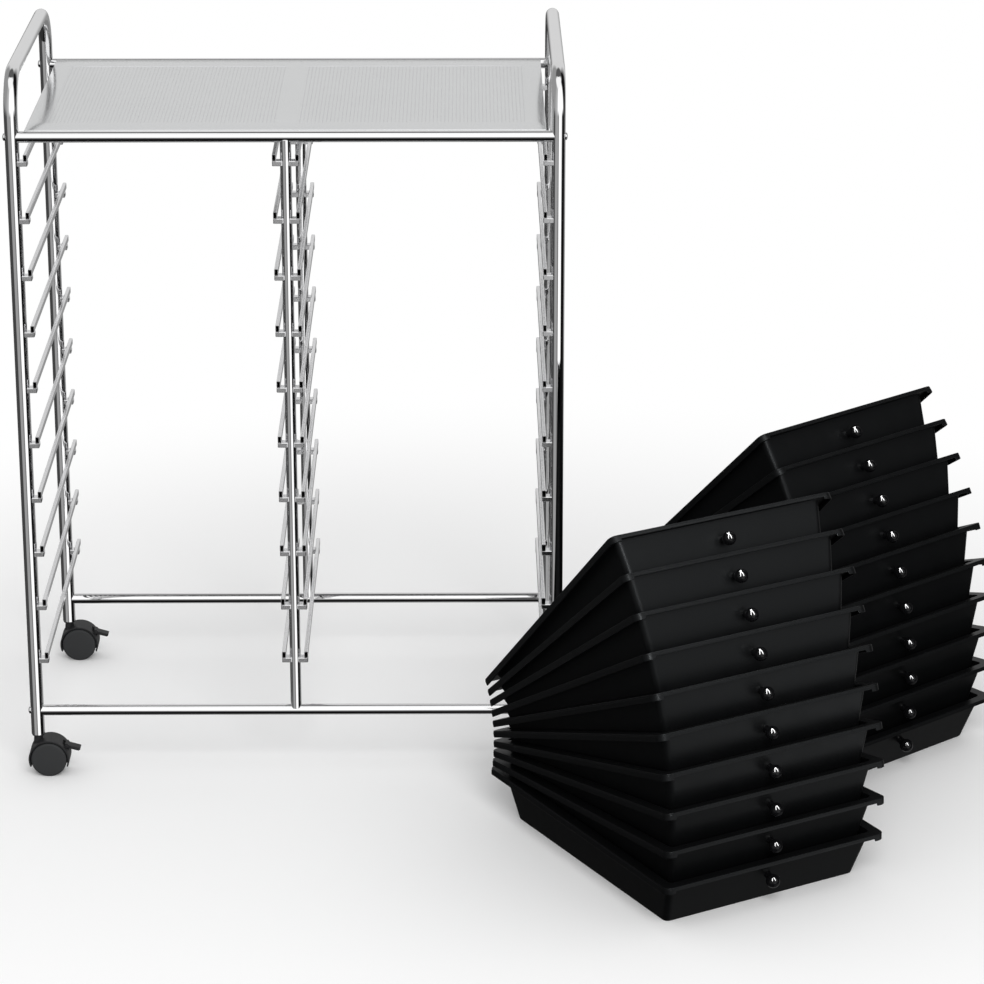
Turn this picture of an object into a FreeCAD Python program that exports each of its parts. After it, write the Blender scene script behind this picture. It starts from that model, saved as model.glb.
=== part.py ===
"""Rolling drawer cart: a chrome tube frame on four braked casters, with ten pairs of rails in each of two
bays, and its twenty drawers lifted out and nested in two fanned stacks on the floor beside it.

Sizes are in millimetres and degrees. The cart is laid out with its floor centre at zero, +X to its right
and +Y to its back, and the whole part is then moved so that its box stands centred on the origin.
"""
import FreeCAD
import Part

import math
import os
import re

import Sketcher
from FreeCAD import Placement, Rotation, Vector

SIZES = {
    # Frame: two bent side hoops, cross bars between them and a centre post in front and behind
    "frame_width": 624,
    "frame_depth": 370,
    "post_diameter": 16,
    "post_wall": 1.2,
    "post_foot": 51,
    "hoop_height": 859,
    "hoop_bend": 45,
    "bar_diameter": 13,
    "bar_wall": 1,
    "top_bar_drop": 69.5,
    "bottom_bar_height": 81,
    "center_post_diameter": 13,
    "weld_gap": 0.05,
    # Screws that pull each bar's end, through the post, against the post
    "screw_diameter": 5,
    "screw_head_diameter": 9,
    "screw_head_height": 2.6,
    "screw_head_taper": 25,
    "screw_reach": 18,
    "screw_clearance": 0.15,
    "insert_length": 22,
    # Shelf: a pressed sheet tray let in between the top bars
    "sheet_thickness": 1.2,
    "shelf_skirt": 11,
    "shelf_side_gap": 13.7,
    "shelf_border": 36,
    "shelf_side_border": 22,
    "shelf_middle_strip": 25,
    "shelf_field_depth": 0.4,
    "mesh_columns": 6,
    "mesh_rows": 6,
    "mesh_rib": 9,
    # Rails: square tube on welded clips
    "rail_levels": 10,
    "rail_drop": 19.5,
    "rail_rise": 77,
    "rail_width": 4.5,
    "rail_height": 8,
    "rail_wall": 0.7,
    "rail_front_reach": 6,
    "rail_rear_reach": 16,
    "clip_length": 12,
    "clip_height": 6,
    # Drawers: drafted plastic trays with a rim that hooks over the rails
    "tray_length": 321,
    "tray_height": 57,
    "tray_wall": 1.9,
    "tray_floor": 2.2,
    "tray_corner": 4,
    "front_draft": 20,
    "rear_draft": 20,
    "side_draft": 9,
    "rim_thickness": 2.4,
    "rim_front": 11,
    "rim_rear": 13,
    "rim_side": 11.5,
    "rim_corner": 5,
    "lip_thickness": 2,
    "lip_depth": 8,
    "front_lip_depth": 5,
    "drawer_side_gap": 1.75,
    "rail_gap": 0.75,
    # Knob, and the boss behind it that also carries the front of the next drawer in a stack
    "knob_diameter": 16,
    "knob_neck_diameter": 9,
    "knob_neck_length": 5,
    "knob_neck_bite": 1,
    "knob_height": 33.5,
    "stud_width": 4,
    "stud_clearance": 0.1,
    "boss_width": 16,
    "boss_depth": 9,
    "boss_bottom": 22,
    "boss_top": 41.8,
    # Stacks: how each drawer nests in the one below, and where the stacks stand
    "stack_count": 10,
    "nest_gap": 0.4,
    "nest_slip": 7.2,
    "seat_gap": 0.3,
    "near_stack_right": 63.6,
    "near_stack_ahead": 73.4,
    "near_stack_turn": 29.85,
    "far_stack_right": 204.2,
    "far_stack_behind": 267.1,
    "far_stack_turn": 40.2,
    # Casters: a hood and web on a peg in the post, twin wheels on an axle, and a brake lever
    "wheel_diameter": 43,
    "wheel_width": 12.5,
    "wheel_bevel": 1.6,
    "wheel_rim_width": 3.2,
    "wheel_dish": 0.5,
    "wheel_gap": 0.5,
    "wheel_proud": 0.5,
    "caster_trail": 13,
    "hood_gap": 1,
    "hood_wall": 2,
    "hood_drop": 9,
    "web_width": 5,
    "neck_diameter": 10,
    "collar_diameter": 14.6,
    "collar_height": 1.5,
    "peg_screw_gap": 4,
    "running_gap": 0.05,
    "axle_diameter": 5,
    "axle_end_gap": 1.5,
    "lever_angle": 35,
    "lever_slope": 15,
    "lever_press": 18,
    "lever_width": 12,
    "lever_hub": 3,
    "lever_cam": 4.1,
    "lever_reach": 17,
    "lever_thickness": 2.6,
    "lever_toe": 1.6,
    "lever_toe_rise": 1.2,
    "lever_pin_diameter": 2.6,
    "lever_pin_reach": 4,
    "lever_gap": 0.4,
    "brake_gap": 0.1,
    "ear_wall": 1.6,
}

doc = FreeCAD.newDocument("rolling_drawer_cart")
sheet = doc.addObject("Spreadsheet::Sheet", "sizes")
for row, (name, number) in enumerate(SIZES.items(), 1):
    sheet.set(f"A{row}", name)
    sheet.set(f"B{row}", str(number))
    sheet.setAlias(f"B{row}", name)
doc.recompute()


def named(expression):
    """The expression with each size's name turned into a reference to its cell."""
    return re.sub(rf"\b({'|'.join(SIZES)})\b", r"sizes.\1", expression)


def value(expression):
    """What an expression of sizes comes to now."""
    return float(sheet.evalExpression(named(expression)))


# Sizes that follow from the driving ones, each an expression that sketches and places share
HALF_WIDTH = "(frame_width / 2)"
HALF_DEPTH = "(frame_depth / 2)"
POST_RADIUS = "(post_diameter / 2)"
TOP_BAR = "(hoop_height - top_bar_drop)"
RAIL_TOP = f"({TOP_BAR} - rail_drop)"
RAIL_PITCH = f"(({RAIL_TOP} - bottom_bar_height - rail_rise) / (rail_levels - 1))"
BAY_CLEAR = "(frame_width / 2 - post_diameter / 2 - center_post_diameter / 2)"
BAY_CENTER = "((frame_width / 2 - post_diameter / 2 + center_post_diameter / 2) / 2)"
RIM_HALF = f"({BAY_CLEAR} / 2 - drawer_side_gap)"
RAIL_OUTER = f"({RIM_HALF} - lip_thickness - rail_gap)"
RAIL_OFFSET = f"({RAIL_OUTER} - rail_width / 2)"
WALL_TOP = "(tray_height - rim_thickness)"
FLOOR_HALF = f"({RIM_HALF} - rim_side - {WALL_TOP} * tan(side_draft))"
RIM_FRONT_EDGE = f"(tray_length + {WALL_TOP} * tan(front_draft) + rim_front)"
RIM_REAR_EDGE = f"(-{WALL_TOP} * tan(rear_draft) - rim_rear)"
BOSS_FACE = "(tray_length + boss_top * tan(front_draft) - tray_wall / cos(front_draft) - boss_depth)"
NEST_RISE = "(tray_wall / sin(side_draft) + nest_gap / tan(side_draft))"
NEST_TILT = f"atan((boss_top + seat_gap - {NEST_RISE}) / ({BOSS_FACE} - nest_slip))"
WHEEL_RADIUS = "(wheel_diameter / 2)"
HOOD_INNER = "(wheel_diameter / 2 + hood_gap)"
HOOD_OUTER = "(wheel_diameter / 2 + hood_gap + hood_wall)"
HOOD_WIDTH = "(web_width + 2 * (wheel_gap + wheel_width - wheel_proud))"
PEG_RADIUS = "(post_diameter / 2 - post_wall - running_gap)"
LEVER_RADIUS = "(wheel_diameter / 2 + lever_cam + brake_gap)"
LEVER_X = f"(caster_trail + {LEVER_RADIUS} * cos(lever_angle))"
LEVER_Z = f"(wheel_diameter / 2 + {LEVER_RADIUS} * sin(lever_angle))"


# Ways of making a piece's solid, shared by the sub-parts


def new_body(label):
    body = doc.addObject("PartDesign::Body", label)
    body.Label = label
    return body


def new_sketch(body, plane, offset="0"):
    """A sketch on one of the body's own origin planes, or offset along its normal."""
    sketch = body.newObject("Sketcher::SketchObject", f"{body.Name}_sketch")
    support = next(feature for feature in body.Origin.OriginFeatures if feature.Role == plane)
    sketch.AttachmentSupport = [(support, "")]
    sketch.MapMode = "FlatFace"
    sketch.setExpression("AttachmentOffset.Base.z", named(offset))
    return sketch


def pin_point(sketch, geometry, point, x, y):
    """Fix a point of the sketch at (x, y), each an expression."""
    for kind, axis, expression in (("DistanceX", -2, x), ("DistanceY", -1, y)):
        if value(expression) == 0:
            sketch.addConstraint(Sketcher.Constraint("PointOnObject", geometry, point, axis))
            continue
        datum = Sketcher.Constraint(kind, -1, 1, geometry, point, value(expression))
        index = sketch.addConstraint(datum)
        sketch.setExpression(f"Constraints[{index}]", named(expression))


def draw_polygon(sketch, corners):
    """A closed run of straight lines through corners, each an (x, y) pair of expressions."""
    first = sketch.GeometryCount
    points = [Vector(value(x), value(y), 0) for x, y in corners]
    count = len(points)
    for i, start in enumerate(points):
        sketch.addGeometry(Part.LineSegment(start, points[(i + 1) % count]))
    for i, (x, y) in enumerate(corners):
        follower = first + (i + 1) % count
        sketch.addConstraint(Sketcher.Constraint("Coincident", first + i, 2, follower, 1))
        pin_point(sketch, first + i, 1, x, y)


def draw_rectangle(sketch, left, right, low, high):
    draw_polygon(sketch, [(left, low), (right, low), (right, high), (left, high)])


def draw_circle(sketch, x, y, radius):
    center = Vector(value(x), value(y), 0)
    circle = sketch.addGeometry(Part.Circle(center, Vector(0, 0, 1), value(radius)))
    pin_point(sketch, circle, 3, x, y)
    index = sketch.addConstraint(Sketcher.Constraint("Radius", circle, value(radius)))
    sketch.setExpression(f"Constraints[{index}]", named(radius))


def extrude(kind, body, sketch, length, symmetric=False, backwards=False):
    """A Pad or Pocket of the sketch, symmetric about its plane or to one side of it."""
    feature = body.newObject(f"PartDesign::{kind}", f"{body.Name}_{kind.lower()}")
    feature.Profile = sketch
    feature.SideType = "Symmetric" if symmetric else "One side"
    feature.Reversed = backwards
    feature.setExpression("Length", named(length))
    return feature


def loft(kind, body, sketches):
    feature = body.newObject(f"PartDesign::{kind}", f"{body.Name}_loft")
    feature.Profile = sketches[0]
    feature.Sections = sketches[1:]
    feature.Ruled = True
    return feature


def copy_of(master, label, place):
    """A placed copy of a piece that is made once."""
    link = doc.addObject("App::Link", label)
    link.setLink(master)
    link.Label = label
    link.Placement = place
    return link


def group_of(label, masters_and_places):
    """One node that holds several separate solids, each a placed copy of a piece."""
    group = doc.addObject("Part::Compound", label)
    group.Label = label
    pairs = enumerate(masters_and_places, 1)
    group.Links = [copy_of(master, f"{label}_piece_{i}", place) for i, (master, place) in pairs]
    return group


def at(x, y, z, turn=0):
    """A place, turned about the upright axis."""
    return Placement(Vector(x, y, z), Rotation(Vector(0, 0, 1), turn))


# Frame


def make_side_hoop(label):
    """A tube bent over into a hoop: front post, handle across the top and rear post, in the YZ plane."""
    body = new_body(label)
    path = new_sketch(body, "YZ_Plane")
    depth, foot = value(HALF_DEPTH), value("post_foot")
    top, bend = value("hoop_height"), value("hoop_bend")
    low = top - bend
    upright, level = Vector(0, 0, 1), math.pi / 2
    path.addGeometry(Part.LineSegment(Vector(-depth, foot, 0), Vector(-depth, low, 0)))
    front_bend = Part.Circle(Vector(bend - depth, low, 0), upright, bend)
    path.addGeometry(Part.ArcOfCircle(front_bend, level, 2 * level))
    path.addGeometry(Part.LineSegment(Vector(bend - depth, top, 0), Vector(depth - bend, top, 0)))
    rear_bend = Part.Circle(Vector(depth - bend, low, 0), upright, bend)
    path.addGeometry(Part.ArcOfCircle(rear_bend, 0, level))
    path.addGeometry(Part.LineSegment(Vector(depth, low, 0), Vector(depth, foot, 0)))
    for joint in ((0, 2, 1, 2), (1, 1, 2, 1), (2, 2, 3, 2), (3, 1, 4, 1)):
        path.addConstraint(Sketcher.Constraint("Tangent", *joint))
    for arc in (1, 3):
        index = path.addConstraint(Sketcher.Constraint("Radius", arc, bend))
        path.setExpression(f"Constraints[{index}]", named("hoop_bend"))
    path.addConstraint(Sketcher.Constraint("Vertical", 0))
    pin_point(path, 0, 1, f"-{HALF_DEPTH}", "post_foot")
    pin_point(path, 4, 2, HALF_DEPTH, "post_foot")
    index = path.addConstraint(Sketcher.Constraint("DistanceY", -1, 1, 2, 1, top))
    path.setExpression(f"Constraints[{index}]", named("hoop_height"))

    section = new_sketch(body, "XY_Plane", "post_foot")
    draw_circle(section, "0", f"-{HALF_DEPTH}", POST_RADIUS)
    draw_circle(section, "0", f"-{HALF_DEPTH}", f"{POST_RADIUS} - post_wall")
    tube = body.newObject("PartDesign::AdditivePipe", f"{label}_tube")
    tube.Profile = section
    tube.Spine = path

    holes = new_sketch(body, "YZ_Plane")
    for side in ("-", ""):
        for height in (TOP_BAR, "bottom_bar_height"):
            draw_circle(holes, f"{side}{HALF_DEPTH}", height, "screw_diameter / 2 + screw_clearance")
    extrude("Pocket", body, holes, "2 * post_diameter", symmetric=True)
    return body


def make_cross_bar():
    """A tube along X between two posts, its ends hollowed to sit against them."""
    body = new_body("cross_bar")
    section = new_sketch(body, "YZ_Plane")
    draw_circle(section, "0", "0", "bar_diameter / 2")
    draw_circle(section, "0", "0", "bar_diameter / 2 - bar_wall")
    extrude("Pad", body, section, "frame_width", symmetric=True)
    posts = new_sketch(body, "XY_Plane")
    for side in ("-", ""):
        draw_circle(posts, f"{side}{HALF_WIDTH}", "0", f"{POST_RADIUS} + weld_gap")
    extrude("Pocket", body, posts, "2 * bar_diameter", symmetric=True)
    return body


def make_center_post():
    """An upright tube between the top and bottom bars, its ends hollowed to sit on them."""
    body = new_body("center_post")
    section = new_sketch(body, "XY_Plane", "bottom_bar_height")
    draw_circle(section, "0", "0", "center_post_diameter / 2")
    draw_circle(section, "0", "0", "center_post_diameter / 2 - bar_wall")
    extrude("Pad", body, section, f"{TOP_BAR} - bottom_bar_height")
    bars = new_sketch(body, "YZ_Plane")
    for height in (TOP_BAR, "bottom_bar_height"):
        draw_circle(bars, "0", height, "bar_diameter / 2 + weld_gap")
    extrude("Pocket", body, bars, "2 * center_post_diameter", symmetric=True)
    return body


def make_frame_screw():
    """A domed screw along +X, its head's underside on the plane x = 0."""
    body = new_body("frame_screw")
    shank = new_sketch(body, "YZ_Plane")
    draw_circle(shank, "0", "0", "screw_diameter / 2")
    extrude("Pad", body, shank, "post_diameter + screw_reach")
    head = new_sketch(body, "YZ_Plane")
    draw_circle(head, "0", "0", "screw_head_diameter / 2")
    dome = extrude("Pad", body, head, "screw_head_height", backwards=True)
    dome.setExpression("TaperAngle", named("-screw_head_taper"))
    return body


def make_bar_insert():
    """A threaded plug along +X that fills the end of a cross bar and takes its screw."""
    body = new_body("bar_insert")
    section = new_sketch(body, "YZ_Plane")
    draw_circle(section, "0", "0", "bar_diameter / 2 - bar_wall - weld_gap")
    draw_circle(section, "0", "0", "screw_diameter / 2 + weld_gap")
    extrude("Pad", body, section, "insert_length")
    return body


def make_shelf_panel():
    """A pressed sheet with skirts against the bars, and two shallow fields cut through in a grid."""
    body = new_body("shelf_panel")
    half_x = "(frame_width / 2 - shelf_side_gap)"
    half_y = f"({HALF_DEPTH} - bar_diameter / 2 - weld_gap)"
    top = f"({TOP_BAR} + bar_diameter / 2)"
    plate = new_sketch(body, "XY_Plane", f"{top} - shelf_skirt")
    draw_rectangle(plate, f"-{half_x}", half_x, f"-{half_y}", half_y)
    extrude("Pad", body, plate, "shelf_skirt")
    hollow = new_sketch(body, "XY_Plane", f"{top} - sheet_thickness")
    inner_x, inner_y = f"({half_x} - sheet_thickness)", f"({half_y} - sheet_thickness)"
    draw_rectangle(hollow, f"-{inner_x}", inner_x, f"-{inner_y}", inner_y)
    extrude("Pocket", body, hollow, "shelf_skirt")
    fields = new_sketch(body, "XY_Plane", top)
    edge_x, edge_y = f"({half_x} - shelf_side_border)", f"({half_y} - shelf_border)"
    middle = "(shelf_middle_strip / 2)"
    draw_rectangle(fields, f"-{edge_x}", f"-{middle}", f"-{edge_y}", edge_y)
    draw_rectangle(fields, middle, edge_x, f"-{edge_y}", edge_y)
    extrude("Pocket", body, fields, "shelf_field_depth")

    cell_x, cell_y = f"(({edge_x} - {middle}) / mesh_columns)", f"(2 * {edge_y} / mesh_rows)"
    for row in range(int(value("mesh_rows"))):
        openings = new_sketch(body, "XY_Plane", top)
        low = f"(-{edge_y} + {row} * {cell_y} + mesh_rib / 2)"
        high = f"({low} + {cell_y} - mesh_rib)"
        for column in range(int(value("mesh_columns"))):
            near = f"({middle} + {column} * {cell_x} + mesh_rib / 2)"
            far = f"({near} + {cell_x} - mesh_rib)"
            draw_rectangle(openings, near, far, low, high)
            draw_rectangle(openings, f"-{far}", f"-{near}", low, high)
        extrude("Pocket", body, openings, "2 * sheet_thickness")
    return body


# Rails


def make_rail():
    """A hollow square rail along +Y from its front end, its top on the plane z = 0."""
    body = new_body("drawer_rail")
    section = new_sketch(body, "XZ_Plane")
    draw_rectangle(section, "-rail_width / 2", "rail_width / 2", "-rail_height", "0")
    inner = "(rail_width / 2 - rail_wall)"
    draw_rectangle(section, f"-{inner}", inner, "rail_wall - rail_height", "-rail_wall")
    extrude("Pad", body, section, "frame_depth + rail_front_reach + rail_rear_reach", backwards=True)
    return body


def make_rail_clip(label, post_radius, rail_face):
    """A block welded to a post at x = 0, under a rail whose near face is at rail_face, top at z = 0."""
    body = new_body(label)
    block = new_sketch(body, "XY_Plane", "-clip_height")
    far = f"({rail_face} + rail_width)"
    draw_rectangle(block, "0", far, "-clip_length / 2", "clip_length / 2")
    extrude("Pad", body, block, "clip_height")
    post = new_sketch(body, "XY_Plane")
    draw_circle(post, "0", "0", f"{post_radius} + weld_gap")
    extrude("Pocket", body, post, "3 * clip_height", symmetric=True)
    return body


# Drawers


def tray_outline(height, inset):
    """The eight corners of the tray's wall at a height, drawn in by inset from its outer face."""
    rear = f"(-{height} * tan(rear_draft) + {inset} / cos(rear_draft))"
    front = f"(tray_length + {height} * tan(front_draft) - {inset} / cos(front_draft))"
    side = f"({FLOOR_HALF} + {height} * tan(side_draft) - {inset} / cos(side_draft))"
    corner = f"(tray_corner - {inset} * (2 - sqrt(2)))"
    return [
        (f"{rear} + {corner}", f"-{side}"),
        (f"{front} - {corner}", f"-{side}"),
        (front, f"-{side} + {corner}"),
        (front, f"{side} - {corner}"),
        (f"{front} - {corner}", side),
        (f"{rear} + {corner}", side),
        (rear, f"{side} - {corner}"),
        (rear, f"-{side} + {corner}"),
    ]


def make_tray():
    """A drawer's tray: x runs to its front from the rear bottom edge, y across it and z up."""
    body = new_body("tray")
    low, high = new_sketch(body, "XY_Plane"), new_sketch(body, "XY_Plane", WALL_TOP)
    draw_polygon(low, tray_outline("0", "0"))
    draw_polygon(high, tray_outline(WALL_TOP, "0"))
    loft("AdditiveLoft", body, [low, high])

    rim = new_sketch(body, "XY_Plane", WALL_TOP)
    cut = "rim_corner"
    draw_polygon(rim, [
        (f"{RIM_REAR_EDGE} + {cut}", f"-{RIM_HALF}"),
        (f"{RIM_FRONT_EDGE} - {cut}", f"-{RIM_HALF}"),
        (RIM_FRONT_EDGE, f"-{RIM_HALF} + {cut}"),
        (RIM_FRONT_EDGE, f"{RIM_HALF} - {cut}"),
        (f"{RIM_FRONT_EDGE} - {cut}", RIM_HALF),
        (f"{RIM_REAR_EDGE} + {cut}", RIM_HALF),
        (RIM_REAR_EDGE, f"{RIM_HALF} - {cut}"),
        (RIM_REAR_EDGE, f"-{RIM_HALF} + {cut}"),
    ])
    extrude("Pad", body, rim, "rim_thickness")

    lips = new_sketch(body, "XY_Plane", WALL_TOP)
    ends = (f"{RIM_REAR_EDGE} + {cut}", f"{RIM_FRONT_EDGE} - {cut}")
    draw_rectangle(lips, *ends, f"-{RIM_HALF}", f"-{RIM_HALF} + lip_thickness")
    draw_rectangle(lips, *ends, f"{RIM_HALF} - lip_thickness", RIM_HALF)
    extrude("Pad", body, lips, "lip_depth - rim_thickness", backwards=True)
    front_lip = new_sketch(body, "XY_Plane", WALL_TOP)
    between_rails = f"({RAIL_OUTER} - rail_width - rail_gap)"
    across = (f"-{between_rails}", between_rails)
    draw_rectangle(front_lip, f"{RIM_FRONT_EDGE} - lip_thickness", RIM_FRONT_EDGE, *across)
    extrude("Pad", body, front_lip, "front_lip_depth - rim_thickness", backwards=True)

    inner_low = new_sketch(body, "XY_Plane", "tray_floor")
    inner_high = new_sketch(body, "XY_Plane", "tray_height")
    draw_polygon(inner_low, tray_outline("tray_floor", "tray_wall"))
    draw_polygon(inner_high, tray_outline("tray_height", "tray_wall"))
    loft("SubtractiveLoft", body, [inner_low, inner_high])

    boss = new_sketch(body, "XZ_Plane")
    root = "(tray_length - tray_wall / 2)"
    draw_polygon(boss, [
        (BOSS_FACE, "boss_bottom"),
        (f"{root} + boss_bottom * tan(front_draft)", "boss_bottom"),
        (f"{root} + boss_top * tan(front_draft)", "boss_top"),
        (BOSS_FACE, "boss_top"),
    ])
    extrude("Pad", body, boss, "boss_width", symmetric=True)

    hole = new_sketch(body, "YZ_Plane", "tray_length + knob_height * tan(front_draft)")
    hole.AttachmentOffset = Placement(hole.AttachmentOffset.Base, Rotation(Vector(1, 0, 0), 1))
    hole.setExpression("AttachmentOffset.Base.y", named("knob_height"))
    hole.setExpression("AttachmentOffset.Rotation.Angle", named("front_draft"))
    half = "(stud_width / 2 + stud_clearance)"
    draw_rectangle(hole, f"-{half}", half, f"-{half}", half)
    extrude("Pocket", body, hole, "2 * (tray_wall + boss_depth)")
    return body


def make_knob():
    """A ball on a neck, with a square stud behind it; its seat is the plane z = 0 and it points up."""
    ball = doc.addObject("Part::Sphere", "knob_ball")
    ball.setExpression("Radius", named("knob_diameter / 2"))
    ball.setExpression("Placement.Base.z", named("knob_neck_length + knob_diameter / 2 - knob_neck_bite"))
    neck = doc.addObject("Part::Cylinder", "knob_neck")
    neck.setExpression("Radius", named("knob_neck_diameter / 2"))
    neck.setExpression("Height", named("knob_neck_length + knob_neck_bite"))
    stud = doc.addObject("Part::Box", "knob_stud")
    for side in ("Length", "Width"):
        stud.setExpression(side, named("stud_width"))
    for axis in ("x", "y"):
        stud.setExpression(f"Placement.Base.{axis}", named("-stud_width / 2"))
    stud.setExpression("Height", named("tray_wall + boss_depth + knob_neck_length"))
    stud.setExpression("Placement.Base.z", named("-tray_wall - boss_depth"))
    knob = doc.addObject("Part::MultiFuse", "knob")
    knob.Shapes = [ball, neck, stud]
    return knob


# Casters: the stem's axis is upright at zero and the wheels trail towards +X, on the floor z = 0


def make_caster_body():
    """Hood, web and neck in one moulding, with the peg that turns in the post."""
    body = new_body("caster_moulding")
    hood = new_sketch(body, "XZ_Plane")
    draw_circle(hood, "caster_trail", WHEEL_RADIUS, HOOD_OUTER)
    extrude("Pad", body, hood, HOOD_WIDTH, symmetric=True)
    ears = new_sketch(body, "XZ_Plane")
    draw_circle(ears, LEVER_X, LEVER_Z, "lever_pin_diameter / 2 + running_gap + ear_wall")
    extrude("Pad", body, ears, "lever_width + 2 * (lever_gap + lever_pin_reach + ear_wall)", symmetric=True)
    neck = new_sketch(body, "XY_Plane", WHEEL_RADIUS)
    draw_circle(neck, "0", "0", "neck_diameter / 2")
    extrude("Pad", body, neck, f"post_foot - {WHEEL_RADIUS}")
    collar = new_sketch(body, "XY_Plane", "post_foot - seat_gap - collar_height")
    draw_circle(collar, "0", "0", "collar_diameter / 2")
    extrude("Pad", body, collar, "collar_height")
    peg = new_sketch(body, "XY_Plane", "post_foot - seat_gap - collar_height")
    draw_circle(peg, "0", "0", PEG_RADIUS)
    peg_top = "(bottom_bar_height - screw_diameter / 2 - peg_screw_gap)"
    extrude("Pad", body, peg, f"{peg_top} - (post_foot - seat_gap - collar_height)")

    below = new_sketch(body, "XZ_Plane")
    far = f"(2 * {HOOD_OUTER})"
    draw_rectangle(below, f"-{far}", far, f"-{far}", f"{WHEEL_RADIUS} - hood_drop")
    extrude("Pocket", body, below, f"2 * {HOOD_WIDTH}", symmetric=True)
    for backwards in (False, True):
        sign = "" if backwards else "-"
        cavity = new_sketch(body, "XZ_Plane", f"{sign}web_width / 2")
        draw_circle(cavity, "caster_trail", WHEEL_RADIUS, HOOD_INNER)
        extrude("Pocket", body, cavity, f"2 * {HOOD_WIDTH}", backwards=backwards)
    bores = new_sketch(body, "XZ_Plane")
    draw_circle(bores, "caster_trail", WHEEL_RADIUS, "axle_diameter / 2 + running_gap")
    draw_circle(bores, LEVER_X, LEVER_Z, "lever_pin_diameter / 2 + running_gap")
    extrude("Pocket", body, bores, f"2 * {HOOD_WIDTH}", symmetric=True)
    slot = new_sketch(body, "XZ_Plane")
    draw_circle(slot, LEVER_X, LEVER_Z, "lever_cam + lever_gap")
    extrude("Pocket", body, slot, "lever_width + 2 * lever_gap", symmetric=True)
    return body


def make_axle():
    body = new_body("caster_axle")
    section = new_sketch(body, "XZ_Plane")
    draw_circle(section, "caster_trail", WHEEL_RADIUS, "axle_diameter / 2")
    extrude("Pad", body, section, f"{HOOD_WIDTH} + 2 * (wheel_proud - axle_end_gap)", symmetric=True)
    return body


def make_wheel():
    """One of a caster's two wheels, about the axle, on the -Y side of the web."""
    body = new_body("caster_wheel")
    outline = new_sketch(body, "XY_Plane")
    bore, rim = "(axle_diameter / 2 + running_gap)", WHEEL_RADIUS
    inner = "(-web_width / 2 - wheel_gap)"
    outer = f"({inner} - wheel_width)"
    dish = f"({rim} - wheel_bevel - wheel_rim_width)"
    draw_polygon(outline, [
        (bore, inner),
        (f"{rim} - wheel_bevel", inner),
        (rim, f"{inner} - wheel_bevel"),
        (rim, f"{outer} + wheel_bevel"),
        (f"{rim} - wheel_bevel", outer),
        (dish, outer),
        (f"{dish} - wheel_dish", f"{outer} + wheel_dish"),
        (bore, f"{outer} + wheel_dish"),
    ])
    wheel = body.newObject("PartDesign::Revolution", "caster_wheel_turned")
    wheel.Profile = outline
    wheel.ReferenceAxis = (outline, ["V_Axis"])
    wheel.Angle = 360
    return body


def make_brake_lever():
    """A foot lever on two stub pins: its cam turns onto both treads as its toe goes down."""
    body = new_body("brake_lever")
    hub = new_sketch(body, "XZ_Plane")
    draw_circle(hub, "0", "0", "lever_hub")
    extrude("Pad", body, hub, "lever_width", symmetric=True)
    blade = new_sketch(body, "XZ_Plane")
    cam = "(lever_angle + 180 + lever_press + lever_slope)"
    draw_polygon(blade, [
        (f"lever_cam * cos({cam})", f"lever_cam * sin({cam})"),
        ("lever_hub", "-lever_thickness"),
        ("lever_reach - lever_toe", "-lever_thickness"),
        ("lever_reach", "lever_toe - lever_thickness"),
        ("lever_reach", "lever_toe_rise"),
        ("lever_hub", "lever_hub / 2"),
        ("0", "lever_hub"),
        ("-lever_hub", "0"),
    ])
    extrude("Pad", body, blade, "lever_width", symmetric=True)
    pins = new_sketch(body, "XZ_Plane")
    draw_circle(pins, "0", "0", "lever_pin_diameter / 2")
    extrude("Pad", body, pins, "lever_width + 2 * lever_pin_reach", symmetric=True)
    return body


# Assembly

nodes = []
half_width, half_depth = value(HALF_WIDTH), value(HALF_DEPTH)
levels = range(int(value("rail_levels")))

# Frame: the hoops, the bars and centre posts between them, their screws and the shelf
for side, x in (("left", -half_width), ("right", half_width)):
    hoop = make_side_hoop(f"{side}_side_hoop")
    hoop.Placement = at(x, 0, 0)
    nodes.append(hoop)

bar_heights = (value(TOP_BAR), value("bottom_bar_height"))
bar_places = [at(0, y, z) for z in bar_heights for y in (-half_depth, half_depth)]
cross_bar = make_cross_bar()
nodes.append(group_of("cross_bars", [(cross_bar, place) for place in bar_places]))
center_post = make_center_post()
nodes.append(group_of("center_posts", [(center_post, at(0, y, 0)) for y in (-half_depth, half_depth)]))
nodes.append(make_shelf_panel())

frame_screw, bar_insert = make_frame_screw(), make_bar_insert()
head_x = half_width + value(POST_RADIUS)
insert_x = half_width - value(POST_RADIUS) - value("weld_gap")
fixings = []
for place in bar_places:
    y, z = place.Base.y, place.Base.z
    fixings += [(frame_screw, at(-head_x, y, z)), (frame_screw, at(head_x, y, z, 180))]
    fixings += [(bar_insert, at(-insert_x, y, z)), (bar_insert, at(insert_x, y, z, 180))]
nodes.append(group_of("frame_screws", fixings))

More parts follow.
